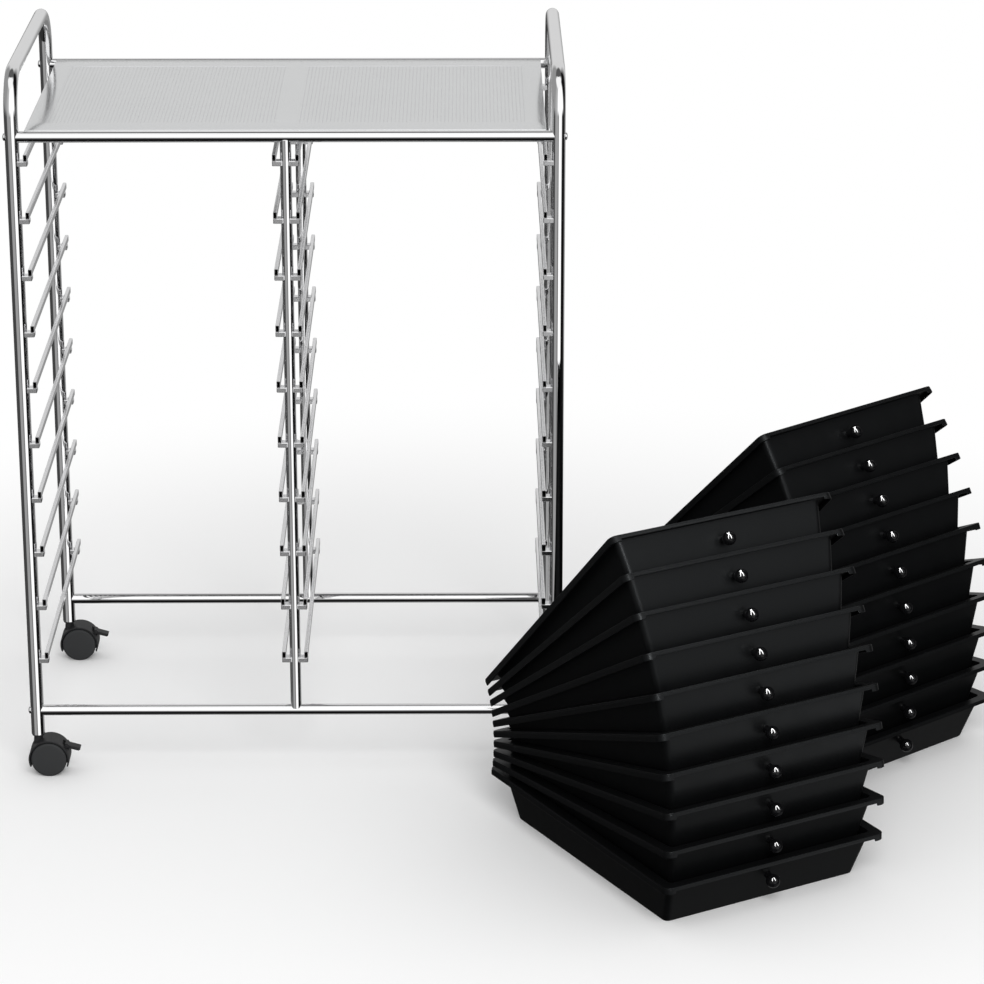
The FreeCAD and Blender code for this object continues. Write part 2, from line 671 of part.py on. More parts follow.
# Rails: at every level, one on each side of each bay, and a clip at the front and rear post of each
rail = make_rail()
side_face, center_face = f"({HALF_WIDTH} - {BAY_CENTER} - {RAIL_OUTER})", f"({BAY_CENTER} - {RAIL_OUTER})"
side_clip = make_rail_clip("side_rail_clip", POST_RADIUS, side_face)
center_clip = make_rail_clip("center_rail_clip", "(center_post_diameter / 2)", center_face)
rails, clips = [], []
rail_front = -half_depth - value("rail_front_reach")
for level in levels:
    top = value(RAIL_TOP) - level * value(RAIL_PITCH)
    clip_top = top - value("rail_height")
    for side in (-1, 1):
        bay = side * value(BAY_CENTER)
        rails += [(rail, at(bay + hand * value(RAIL_OFFSET), rail_front, top)) for hand in (-1, 1)]
        for y in (-half_depth, half_depth):
            clips.append((side_clip, at(side * half_width, y, clip_top, 0 if side < 0 else 180)))
            clips.append((center_clip, at(0, y, clip_top, 180 if side < 0 else 0)))
nodes.append(group_of("drawer_rails", rails))
nodes.append(group_of("rail_clips", clips))

# Casters, all trailing to the right
moulding, axle, wheel, lever = make_caster_body(), make_axle(), make_wheel(), make_brake_lever()
lever_rest = Placement(Vector(), Rotation(Vector(0, 1, 0), value("lever_slope")))
for row, y in (("front", -half_depth), ("rear", half_depth)):
    for side, x in (("left", -half_width), ("right", half_width)):
        name = f"{row}_{side}_caster"
        nodes.append(group_of(f"{name}_hood", [(moulding, at(x, y, 0)), (axle, at(x, y, 0))]))
        hub = (x + value("caster_trail"), y, value(WHEEL_RADIUS))
        nodes.append(group_of(f"{name}_wheels", [(wheel, at(*hub)), (wheel, at(*hub, 180))]))
        pivot = at(x + value(LEVER_X), y, value(LEVER_Z)) * lever_rest
        nodes.append(copy_of(lever, f"{name}_brake", pivot))

# Drawers: each stack starts flat on the floor, and each drawer nests in the one below it, tipped up
# until its front rests on that drawer's boss
tray, knob = make_tray(), make_knob()
front_draft = value("front_draft")
knob_height = value("knob_height")
knob_x = value("tray_length + knob_height * tan(front_draft)")
knob_place = Placement(Vector(knob_x, 0, knob_height), Rotation(Vector(0, 1, 0), 90 + front_draft))
step_up = Placement(
    Vector(value("nest_slip"), 0, value(NEST_RISE)),
    Rotation(Vector(0, -1, 0), value(NEST_TILT)),
)
near_place = at(
    half_width + value("near_stack_right"),
    -half_depth - value("near_stack_ahead"),
    0,
    value("near_stack_turn") - 90,
)
far_place = at(
    half_width + value("far_stack_right"),
    -half_depth + value("far_stack_behind"),
    0,
    value("far_stack_turn") - 90,
)
number = 0
for place in (near_place, far_place):
    for _ in range(int(value("stack_count"))):
        number += 1
        nodes.append(copy_of(tray, f"drawer_{number:02d}_tray", place))
        nodes.append(copy_of(knob, f"drawer_{number:02d}_knob", place * knob_place))
        place = place * step_up

doc.recompute()

# The part's box, centred on the origin and standing on the floor
box = FreeCAD.BoundBox()
for node in nodes:
    box.add(Part.getShape(node).optimalBoundingBox(False, False))
shift = Placement(Vector(-box.Center.x, -box.Center.y, -box.ZMin), Rotation())
for node in nodes:
    node.Placement = shift * node.Placement
doc.recompute()

broken = [item.Name for item in doc.Objects if {"Invalid", "Error"} & set(item.State)]
for node in nodes:
    shape = Part.getShape(node)
    if shape.isNull() or not shape.isValid():
        broken.append(node.Label)
if broken:
    raise RuntimeError(f"these pieces did not build: {broken}")

os.makedirs("parts", exist_ok=True)
for node in nodes:
    Part.getShape(node).exportStep(f"parts/{node.Label}.step")
print(f"{len(nodes)} nodes, {box.XLength:.1f} x {box.YLength:.1f} x {box.ZLength:.1f} mm")
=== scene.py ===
import math

import bmesh
import bpy
from mathutils import Matrix, Vector


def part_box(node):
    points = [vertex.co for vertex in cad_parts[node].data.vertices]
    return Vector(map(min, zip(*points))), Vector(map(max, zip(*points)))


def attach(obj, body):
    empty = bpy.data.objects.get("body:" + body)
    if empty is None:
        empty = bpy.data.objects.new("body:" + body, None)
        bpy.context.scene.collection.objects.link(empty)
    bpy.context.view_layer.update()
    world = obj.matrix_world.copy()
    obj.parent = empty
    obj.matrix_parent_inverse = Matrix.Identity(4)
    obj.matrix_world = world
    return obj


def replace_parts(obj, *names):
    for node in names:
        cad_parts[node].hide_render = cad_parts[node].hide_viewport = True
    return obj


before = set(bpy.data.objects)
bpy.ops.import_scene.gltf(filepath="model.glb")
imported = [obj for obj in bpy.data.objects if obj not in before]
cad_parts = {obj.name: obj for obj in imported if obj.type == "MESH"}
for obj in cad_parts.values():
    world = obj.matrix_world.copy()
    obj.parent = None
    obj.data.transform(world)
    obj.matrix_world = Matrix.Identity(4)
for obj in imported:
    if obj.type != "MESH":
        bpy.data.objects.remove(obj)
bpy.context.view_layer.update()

# Side hoops
# Each side of the cart is one 16 mm steel tube, bent over into a front post, a handle and a rear post.
# It is bright chrome plated, and its feet stay open for the pegs of the casters.

shelf_low, shelf_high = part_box("shelf_panel")
cart_center = (shelf_low + shelf_high) / 2
cart_center.z = 0
MILLIMETRE = 0.001
IN_CART = Matrix.Translation(cart_center) @ Matrix.Scale(MILLIMETRE, 4)
HALF_WIDTH, HALF_DEPTH = 312, 185
POST_RADIUS, POST_WALL, POST_FOOT = 8, 1.2, 51
HOOP_TOP, HOOP_BEND = 859, 45
TUBE_SIDES, BEND_STEPS = 40, 14
MERGE_REACH = 0.001
SHARP_SHADING = math.radians(18)


def verts_in(geometry):
    return [item for item in geometry if isinstance(item, bmesh.types.BMVert)]


def edges_in(geometry):
    return [item for item in geometry if isinstance(item, bmesh.types.BMEdge)]


def verts_of(edges):
    return list({vert for edge in edges for vert in edge.verts})


def face_outward(shape):
    bmesh.ops.recalc_face_normals(shape, faces=shape.faces)


def run_straight(shape, ring, move):
    """Draw a ring of edges out along a straight run, and give back the ring at its end."""
    drawn = bmesh.ops.extrude_edge_only(shape, edges=ring)["geom"]
    ends = set(verts_in(drawn))
    bmesh.ops.translate(shape, verts=list(ends), vec=move)
    return [edge for edge in edges_in(drawn) if ends.issuperset(edge.verts)]


def run_round(shape, ring, center, axis, angle, steps):
    """Draw a ring of edges out round a bend, and give back the ring at its end."""
    around = verts_of(ring) + ring
    bend = bmesh.ops.spin(shape, geom=around, cent=center, axis=axis, angle=angle, steps=steps)
    return edges_in(bend["geom_last"])


def place_of(x, y, z, turn=0.0):
    """A place in millimetres, turned about the upright axis by degrees."""
    return Matrix.Translation((x, y, z)) @ Matrix.Rotation(math.radians(turn), 4, "Z")


def add_piece(name, shape, place, body, slot, *materials):
    """Make a piece of a shape in millimetres, at its place in the frame, and let it ride on a body."""
    shape.transform(place)
    mesh = bpy.data.meshes.new(name)
    shape.to_mesh(mesh)
    shape.free()
    for material in materials:
        mesh.materials.append(material)
    mesh.shade_smooth()
    mesh.set_sharp_from_angle(angle=SHARP_SHADING)
    piece = bpy.data.objects.new(name, mesh)
    bpy.context.scene.collection.objects.link(piece)
    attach(piece, body)
    return piece


def new_group(name, inputs, outputs):
    """A shader node group with named sockets; inputs have a default and outputs a type."""
    group = bpy.data.node_groups.new(name, "ShaderNodeTree")
    for socket, default in inputs.items():
        kind = "Color" if isinstance(default, tuple) else "Float"
        made = group.interface.new_socket(socket, in_out="INPUT", socket_type=f"NodeSocket{kind}")
        made.default_value = default
    for socket, kind in outputs.items():
        group.interface.new_socket(socket, in_out="OUTPUT", socket_type=f"NodeSocket{kind}")
    return group, group.nodes.new("NodeGroupInput"), group.nodes.new("NodeGroupOutput")


def new_node(tree, kind, values=None, **settings):
    """A shader node with its settings, and the values of its own sockets by name or number."""
    node = tree.nodes.new(f"ShaderNode{kind}")
    for setting, value in settings.items():
        setattr(node, setting, value)
    for socket, value in (values or {}).items():
        node.inputs[socket].default_value = value
    return node


def link(tree, *pairs):
    for output, socket in pairs:
        tree.links.new(output, socket)


# Fine unevenness of a finish: where it is a little duller, and how it ripples
grain, grain_in, grain_out = new_group(
    "surface_grain",
    {"Scale": 100, "Roughness": 0.3, "Spread": 0.1, "Ripple Scale": 400, "Ripple": 0.1, "Depth": 0.0002},
    {"Roughness": "Float", "Normal": "Vector"},
)
grain_place = new_node(grain, "TexCoord")
patches = new_node(grain, "TexNoise", {"Detail": 4})
patch_offset = new_node(grain, "Math", {1: 0.5}, operation="SUBTRACT")
dullness = new_node(grain, "Math", operation="MULTIPLY_ADD")
ripples = new_node(grain, "TexNoise", {"Detail": 3})
bump = new_node(grain, "Bump")
link(
    grain,
    (grain_place.outputs["Object"], patches.inputs["Vector"]),
    (grain_place.outputs["Object"], ripples.inputs["Vector"]),
    (grain_in.outputs["Scale"], patches.inputs["Scale"]),
    (grain_in.outputs["Ripple Scale"], ripples.inputs["Scale"]),
    (patches.outputs["Fac"], patch_offset.inputs[0]),
    (patch_offset.outputs[0], dullness.inputs[0]),
    (grain_in.outputs["Spread"], dullness.inputs[1]),
    (grain_in.outputs["Roughness"], dullness.inputs[2]),
    (ripples.outputs["Fac"], bump.inputs["Height"]),
    (grain_in.outputs["Ripple"], bump.inputs["Strength"]),
    (grain_in.outputs["Depth"], bump.inputs["Distance"]),
    (dullness.outputs[0], grain_out.inputs["Roughness"]),
    (bump.outputs["Normal"], grain_out.inputs["Normal"]),
)

# Slow drift of a colour's brightness over a surface, as batches and wear leave it
drift, drift_in, drift_out = new_group(
    "tint_drift", {"Color": (0.5, 0.5, 0.5, 1), "Scale": 8, "Amount": 0.06}, {"Color": "Color"}
)
drift_place = new_node(drift, "TexCoord")
clouds = new_node(drift, "TexNoise", {"Detail": 5})
cloud_offset = new_node(drift, "Math", {1: 0.5}, operation="SUBTRACT")
level = new_node(drift, "Math", {2: 1}, operation="MULTIPLY_ADD")
shade = new_node(drift, "VectorMath", operation="SCALE")
link(
    drift,
    (drift_place.outputs["Object"], clouds.inputs["Vector"]),
    (drift_in.outputs["Scale"], clouds.inputs["Scale"]),
    (clouds.outputs["Fac"], cloud_offset.inputs[0]),
    (cloud_offset.outputs[0], level.inputs[0]),
    (drift_in.outputs["Amount"], level.inputs[1]),
    (drift_in.outputs["Color"], shade.inputs[0]),
    (level.outputs[0], shade.inputs["Scale"]),
    (shade.outputs[0], drift_out.inputs["Color"]),
)


def new_finish(
    name, color, drift_scale, drift_amount, metallic, specular, specular_tint=(1, 1, 1), **grain_values
):
    """A material with its plain values on the shader's own sockets, and its colour's drift and fine grain."""
    material = bpy.data.materials.new(name)
    material.use_nodes = True
    tree = material.node_tree
    shader = tree.nodes["Principled BSDF"]
    shader.inputs["Metallic"].default_value = metallic
    shader.inputs["Specular IOR Level"].default_value = specular
    shader.inputs["Specular Tint"].default_value = (*specular_tint, 1)
    tint_values = {"Color": (*color, 1), "Scale": drift_scale, "Amount": drift_amount}
    tint = new_node(tree, "Group", tint_values, node_tree=drift)
    fine_values = {socket.replace("_", " "): value for socket, value in grain_values.items()}
    fine = new_node(tree, "Group", fine_values, node_tree=grain)
    link(
        tree,
        (tint.outputs["Color"], shader.inputs["Base Color"]),
        (fine.outputs["Roughness"], shader.inputs["Roughness"]),
        (fine.outputs["Normal"], shader.inputs["Normal"]),
    )
    return material


chrome = new_finish(
    "tube_chrome", color=(0.93, 0.93, 0.935), drift_scale=12, drift_amount=0.06, metallic=1.0, specular=0.5,
    Scale=30, Roughness=0.05, Spread=0.05, Ripple_Scale=60, Ripple=0.004, Depth=0.0003,
)

bend_height = HOOP_TOP - HOOP_BEND
post_run = bend_height - POST_FOOT
handle_half = HALF_DEPTH - HOOP_BEND
for side, x in (("left", -HALF_WIDTH), ("right", HALF_WIDTH)):
    hoop = bmesh.new()
    foot = place_of(0, -HALF_DEPTH, POST_FOOT, 180 / TUBE_SIDES)
    bmesh.ops.create_circle(hoop, segments=TUBE_SIDES, radius=POST_RADIUS, matrix=foot)
    ring = run_straight(hoop, hoop.edges[:], (0, 0, post_run))
    for y, next_run in ((-handle_half, (0, 2 * handle_half, 0)), (handle_half, (0, 0, -post_run))):
        ring = run_round(hoop, ring, (0, y, bend_height), (-1, 0, 0), math.pi / 2, BEND_STEPS)
        ring = run_straight(hoop, ring, next_run)
    bmesh.ops.remove_doubles(hoop, verts=hoop.verts, dist=MERGE_REACH)
    face_outward(hoop)
    bmesh.ops.solidify(hoop, geom=hoop.faces[:], thickness=POST_WALL)
    piece = add_piece(f"{side}_hoop_tube", hoop, IN_CART @ place_of(x, 0, 0), "cart", "chrome_tube", chrome)
    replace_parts(piece, f"{side}_side_hoop")

# Cross bars and centre posts
# Four 13 mm chrome tubes tie the hoops together, top and bottom, front and rear, and an upright tube in the
# middle of the front and of the rear carries the inner rails. Their ends are shaped to the tubes they meet.

BAR_RADIUS, BAR_SIDES = 6.5, 36
TOP_BAR, BOTTOM_BAR = 789.5, 81
BAR_END_REACH = 3.2
LYING = Matrix.Rotation(math.pi / 2, 4, "Y")


def add_rod(shape, radius, length, place, sides=BAR_SIDES):
    bmesh.ops.create_cone(
        shape, cap_ends=True, segments=sides, radius1=radius, radius2=radius, depth=length, matrix=place
    )


bars = bmesh.new()
bar_length = 2 * (HALF_WIDTH - POST_RADIUS + BAR_END_REACH)
for z in (TOP_BAR, BOTTOM_BAR):
    for y in (-HALF_DEPTH, HALF_DEPTH):
        add_rod(bars, BAR_RADIUS, bar_length, place_of(0, y, z) @ LYING)
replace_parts(add_piece("cross_bar_tubes", bars, IN_CART, "cart", "chrome_tube", chrome), "cross_bars")

posts = bmesh.new()
post_length = TOP_BAR - BOTTOM_BAR - 2 * (BAR_RADIUS - BAR_END_REACH)
for y in (-HALF_DEPTH, HALF_DEPTH):
    add_rod(posts, BAR_RADIUS, post_length, place_of(0, y, (TOP_BAR + BOTTOM_BAR) / 2))
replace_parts(add_piece("center_post_tubes", posts, IN_CART, "cart", "chrome_tube", chrome), "center_posts")

# Frame screws
# A domed screw goes through each post into the end of a bar, and pulls the bar against the post.
# Its head is chrome plated, with a six-sided socket for the key.

HEAD_RADIUS, HEAD_HEIGHT, HEAD_SIDES = 4.5, 2.6, 24
HEAD_RIM, HEAD_SINK = 0.4, 0.4
HEAD_DOME = ((0.93, 0.25), (0.76, 0.22), (0.55, 0.13))
SOCKET_RADIUS, SOCKET_DEPTH = 1.7, 1.5
HEX_HALF = math.pi / 6


def repeat(shape, places):
    """Copy a shape to each of several places, in one mesh."""
    pattern = shape.verts[:] + shape.edges[:] + shape.faces[:]
    for place in places[1:]:
        copy = bmesh.ops.duplicate(shape, geom=pattern)["geom"]
        bmesh.ops.transform(shape, matrix=place, verts=verts_in(copy))
    bmesh.ops.transform(shape, matrix=places[0], verts=verts_in(pattern))


screw = bmesh.new()
bmesh.ops.create_circle(screw, cap_ends=True, segments=HEAD_SIDES, radius=HEAD_RADIUS)
ring = run_straight(screw, screw.edges[:], (0, 0, HEAD_RIM * HEAD_HEIGHT))
for share, lift in HEAD_DOME:
    ring = run_straight(screw, ring, (0, 0, lift * HEAD_HEIGHT))
    ends = verts_of(ring)
    reach = max(math.hypot(vert.co.x, vert.co.y) for vert in ends)
    factor = share * HEAD_RADIUS / reach
    bmesh.ops.scale(screw, vec=(factor, factor, 1), verts=ends)
ring = run_straight(screw, ring, (0, 0, 0))
for vert in verts_of(ring):
    corner = HEX_HALF - abs(math.atan2(vert.co.y, vert.co.x) % (2 * HEX_HALF) - HEX_HALF)
    reach = SOCKET_RADIUS * math.cos(HEX_HALF) / math.cos(HEX_HALF - corner)
    vert.co.xy = vert.co.xy.normalized() * reach
ring = run_straight(screw, ring, (0, 0, -SOCKET_DEPTH))
bmesh.ops.edgeloop_fill(screw, edges=ring)
face_outward(screw)
head_places = []
for z in (TOP_BAR, BOTTOM_BAR):
    for y in (-HALF_DEPTH, HALF_DEPTH):
        for hand in (-1, 1):
            seat = place_of(hand * (HALF_WIDTH + POST_RADIUS - HEAD_SINK), y, z)
            head_places.append(seat @ Matrix.Rotation(hand * math.pi / 2, 4, "Y"))
repeat(screw, head_places)
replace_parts(add_piece("frame_screw_heads", screw, IN_CART, "cart", "chrome_tube", chrome), "frame_screws")

# Shelf
# A pressed steel sheet let in between the top bars, with a turned-down skirt all round and a bright silver
# coat. Each half has a field of fine punched holes, pressed a little below the border.

SHEET = 1.2
SHELF_X = (-298.3, -276.3, -12.5, 12.5, 276.3, 298.3)
SHELF_Y = (-178.45, -142.45, 142.45, 178.45)
SHELF_TOP, SKIRT, FIELD_DEPTH = 796, 11, 0.4
SKIRT_BEND, SKIRT_BEND_STEPS = 0.9, 3
RIGHT_FOLD, BORDER_SLACK, LEVEL_SLACK = 1, 1, 0.01
HOLE_RADIUS, HOLE_SIDES, HOLES_ACROSS, HOLES_DEEP = 0.66, 6, 60, 64
FIELD_MERGE = 0.01

silver = new_finish(
    "shelf_silver_coat", color=(0.758, 0.766, 0.772), drift_scale=9, drift_amount=0.05, metallic=0.75,
    specular=0.5, Scale=18, Roughness=0.16, Spread=0.05, Ripple_Scale=900, Ripple=0.015, Depth=0.0002,
)


def folded(edges, angle):
    """The edges where two faces meet at more than an angle."""
    return [edge for edge in edges if edge.calc_face_angle(0) > angle]


def soften(shape, edges, width, steps=2):
    bmesh.ops.bevel(
        shape, geom=edges, offset=width, segments=steps, profile=0.5, affect="EDGES", material=-1
    )


border = bmesh.new()
columns, rows = len(SHELF_X) - 1, len(SHELF_Y) - 1
bmesh.ops.create_grid(border, x_segments=columns, y_segments=rows, size=1)
for vert in border.verts:
    vert.co.x = SHELF_X[round((vert.co.x + 1) / 2 * columns)]
    vert.co.y = SHELF_Y[round((vert.co.y + 1) / 2 * rows)]
fields = []
for face in border.faces:
    center = face.calc_center_median()
    if abs(center.y) < SHELF_Y[2] and SHELF_X[3] < abs(center.x) < SHELF_X[4]:
        fields.append(face)
bmesh.ops.delete(border, geom=fields, context="FACES_ONLY")
outside = [edge for edge in border.edges if edge.is_boundary and (
    all(abs(vert.co.x) > SHELF_X[4] + BORDER_SLACK for vert in edge.verts)
    or all(abs(vert.co.y) > SHELF_Y[2] + BORDER_SLACK for vert in edge.verts))]
run_straight(border, outside, (0, 0, -SKIRT))
soften(border, folded(border.edges, RIGHT_FOLD), SKIRT_BEND, SKIRT_BEND_STEPS)
inside = [edge for edge in border.edges if edge.is_boundary and abs(edge.verts[0].co.z) < LEVEL_SLACK]
run_straight(border, inside, (0, 0, -FIELD_DEPTH))
face_outward(border)
bmesh.ops.solidify(border, geom=border.faces[:], thickness=SHEET)
border_place = IN_CART @ place_of(0, 0, SHELF_TOP)
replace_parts(add_piece("shelf_border", border, border_place, "cart", "shelf_sheet", silver), "shelf_panel")

pitch_x = (SHELF_X[4] - SHELF_X[3]) / HOLES_ACROSS
pitch_y = (SHELF_Y[2] - SHELF_Y[1]) / HOLES_DEEP
for side, field_start in (("left", SHELF_X[1]), ("right", SHELF_X[3])):
    field = bmesh.new()
    bmesh.ops.create_circle(field, segments=HOLE_SIDES, radius=HOLE_RADIUS)
    for vert in verts_of(run_straight(field, field.edges[:], (0, 0, 0))):
        vert.co.x = pitch_x / 2 * round(vert.co.x / HOLE_RADIUS)
        vert.co.y = math.copysign(pitch_y / 2, vert.co.y)
    repeat(field, [Matrix.Translation((pitch_x * (i + 0.5), 0, 0)) for i in range(HOLES_ACROSS)])
    repeat(field, [Matrix.Translation((0, pitch_y * (i + 0.5), 0)) for i in range(HOLES_DEEP)])
    bmesh.ops.remove_doubles(field, verts=field.verts, dist=FIELD_MERGE)
    face_outward(field)
    if sum(face.normal.z for face in field.faces) < 0:
        bmesh.ops.reverse_faces(field, faces=field.faces)
    bmesh.ops.solidify(field, geom=field.faces[:], thickness=SHEET - FIELD_DEPTH)
    field_place = IN_CART @ place_of(field_start, SHELF_Y[1], SHELF_TOP - FIELD_DEPTH)
    add_piece(f"shelf_field_{side}", field, field_place, "cart", "shelf_sheet", silver)

# Rails
# Forty hollow rails, ten levels with two in each bay, carry the drawers by their rims. They are plated
# square-section tube with rounded long edges and open ends.

RAIL_WIDTH, RAIL_HEIGHT, RAIL_WALL, RAIL_LENGTH = 4.5, 8, 0.55, 392
RAIL_EDGE, RAIL_OVERHANG, RAIL_BORE, END_FACING = 0.9, 6, 60, 0.9
RAIL_TOP, RAIL_PITCH, RAIL_LEVELS = 770, 68, 10
BAY_CENTER, RAIL_OFFSET = 155.25, 142

rail_chrome = new_finish(
    "rail_chrome", color=(0.90, 0.90, 0.91), drift_scale=12, drift_amount=0.08, metallic=1.0, specular=0.5,
    Scale=40, Roughness=0.22, Spread=0.08, Ripple_Scale=120, Ripple=0.008, Depth=0.0003,
)
# The bore's near-black colour is painted shade, darkening the insides of the rails' open ends.
bore_shade_finish = new_finish(
    "rail_bore_painted_shade", color=(0.012, 0.012, 0.012), drift_scale=40, drift_amount=0.2, metallic=0.0,
    specular=0.1, Scale=120, Roughness=0.7, Spread=0.2, Ripple_Scale=600, Ripple=0.2, Depth=0.0003,
)

rail = bmesh.new()
bmesh.ops.create_cube(rail, size=1)
bmesh.ops.scale(rail, vec=(RAIL_WIDTH, RAIL_LENGTH, RAIL_HEIGHT), verts=rail.verts)
bmesh.ops.translate(rail, vec=(0, RAIL_LENGTH / 2, -RAIL_HEIGHT / 2), verts=rail.verts)
soften(rail, [edge for edge in rail.edges if edge.calc_length() > RAIL_LENGTH / 2], RAIL_EDGE)
for end in [face for face in rail.faces if abs(face.normal.y) > END_FACING]:
    inward = -RAIL_BORE * end.normal
    bmesh.ops.inset_individual(rail, faces=[end], thickness=RAIL_WALL)
    bore = bmesh.ops.extrude_discrete_faces(rail, faces=[end])["faces"][0]
    bmesh.ops.translate(rail, vec=inward, verts=bore.verts)
    # Painted shade: the bore and its walls take the near-black second material.
    for face in [bore] + [near for edge in bore.edges for near in edge.link_faces]:
        face.material_index = 1
rail_tops = [RAIL_TOP - rail_level * RAIL_PITCH for rail_level in range(RAIL_LEVELS)]
repeat(rail, [
    place_of(bay + hand * RAIL_OFFSET, -HALF_DEPTH - RAIL_OVERHANG, top)
    for top in rail_tops for bay in (-BAY_CENTER, BAY_CENTER) for hand in (-1, 1)
])
piece = add_piece("drawer_rail_tubes", rail, IN_CART, "cart", "chrome_rail", rail_chrome, bore_shade_finish)
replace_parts(piece, "drawer_rails")

# Rail clips
# A small block is welded to the post under each end of a rail, and plated with the frame.
# The outer clips reach from the hoops' posts and the inner ones from the centre posts.

CLIP_LENGTH, CLIP_HEIGHT, CLIP_ROOT, CLIP_EDGE = 12, 6, 4.0, 0.7
SIDE_REACH, CENTER_REACH = 17.0, 15.5


def edges_at(verts):
    return list({edge for vert in verts for edge in vert.link_edges})


clips = bmesh.new()
for clip_reach, x, left_turn in ((SIDE_REACH, HALF_WIDTH, 0), (CENTER_REACH, 0, 180)):
    clip = bmesh.new()
    clip_size = Matrix.Diagonal((clip_reach - CLIP_ROOT, CLIP_LENGTH, CLIP_HEIGHT, 1))
    clip_place = place_of((CLIP_ROOT + clip_reach) / 2, 0, -CLIP_HEIGHT / 2) @ clip_size
    block = bmesh.ops.create_cube(clip, size=1, matrix=clip_place)["verts"]
    soften(clip, edges_at(block), CLIP_EDGE, 1)
    places = []
    for top in rail_tops:
        for y in (-HALF_DEPTH, HALF_DEPTH):
            for hand in (-1, 1):
                turn = left_turn if hand < 0 else 180 - left_turn
                places.append(place_of(hand * x, y, top - RAIL_HEIGHT, turn))
    repeat(clip, places)
    clip_row = bpy.data.meshes.new("clip_row")
    clip.to_mesh(clip_row)
    clip.free()
    clips.from_mesh(clip_row)
    bpy.data.meshes.remove(clip_row)
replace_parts(add_piece("rail_clip_blocks", clips, IN_CART, "cart", "chrome_rail", rail_chrome), "rail_clips")

# Casters
# Each caster is a moulded hood with a web down its middle, on a neck whose peg turns in the post. Twin
# wheels run on an axle through the web, and a foot lever in the hood's slot brakes them.

WHEEL_RADIUS, WHEEL_TRAIL, WHEEL_STEPS = 21.5, 13, 56
HOOD_RADIUS, HOOD_WALL, HOOD_HALF, HOOD_DROP, HOOD_EDGE = 24.5, 2, 15, 9, 0.6
HOOD_START, HOOD_STEP, HOOD_STEPS = -22, 7, 32
SLOT_HALF, SLOT_LOW, SLOT_HIGH = 6.4, 20, 48
WEB_HALF, WEB_RADIUS, WEB_SIDES = 2.5, 23.2, 60
NOTCH_RADIUS, NOTCH_SPREAD = 20.9, 4
NECK_RADIUS, NECK_FLARE, NECK_ROOT, NECK_SIDES = 5, 1.25, 6, 32
COLLAR_RADIUS, COLLAR_HEIGHT, SEAT_GAP = 7.3, 1.5, 0.3
PEG_RADIUS, PEG_REACH, PEG_LIFT = 6.7, 14, 1
AXLE_RADIUS, AXLE_INSET, PIN_SIDES = 2.5, 1, 20
EAR_RADIUS, EAR_END = 1.8, 9
LEVER_X, LEVER_Z, LEVER_HALF, LEVER_SLOPE = 34.052, 36.241, 6, 15
LEVER_EDGE, LEVER_FOLD = 0.5, 0.6
WHEEL_PROFILE = (
    (2.6, 3.0), (19.9, 3.0), (21.5, 4.6), (21.5, 13.4), (21.3, 14.1), (20.8, 14.7), (20.1, 15.15),
    (19.2, 15.4), (18.0, 15.5), (0.0, 15.5), (0.0, 14.6), (2.6, 14.6),
)
LEVER_PROFILE = (
    (-1.54, -3.80), (3.0, -2.6), (15.4, -2.6), (17.0, -1.0), (17.0, 1.2), (3.0, 1.5), (0.0, 3.0),
    (-2.2, 2.1), (-3.0, 0.0),
)
ACROSS = Matrix.Rotation(math.pi / 2, 4, "X")

caster_black = new_finish(
    "caster_black_plastic", color=(0.019, 0.019, 0.020), drift_scale=60, drift_amount=0.1, metallic=0.0,
    specular=0.2, Scale=140, Roughness=0.45, Spread=0.12, Ripple_Scale=2200, Ripple=0.18, Depth=0.0001,
)
wheel_black = new_finish(
    "wheel_black_plastic", color=(0.031, 0.032, 0.033), drift_scale=60, drift_amount=0.1, metallic=0.0,
    specular=0.2, Scale=140, Roughness=0.42, Spread=0.12, Ripple_Scale=1800, Ripple=0.12, Depth=0.0001,
)


def polar(radius, degrees):
    return radius * math.cos(math.radians(degrees)), radius * math.sin(math.radians(degrees))


def rise_of(point):
    """The angle of a point up from the x axis, seen along the axle."""
    return math.degrees(math.atan2(point.z, point.x))


def turn_full(shape, profile, axis, steps):
    bmesh.ops.spin(
        shape, geom=profile, cent=(0, 0, 0), axis=axis, angle=2 * math.pi, steps=steps, use_merge=True
    )


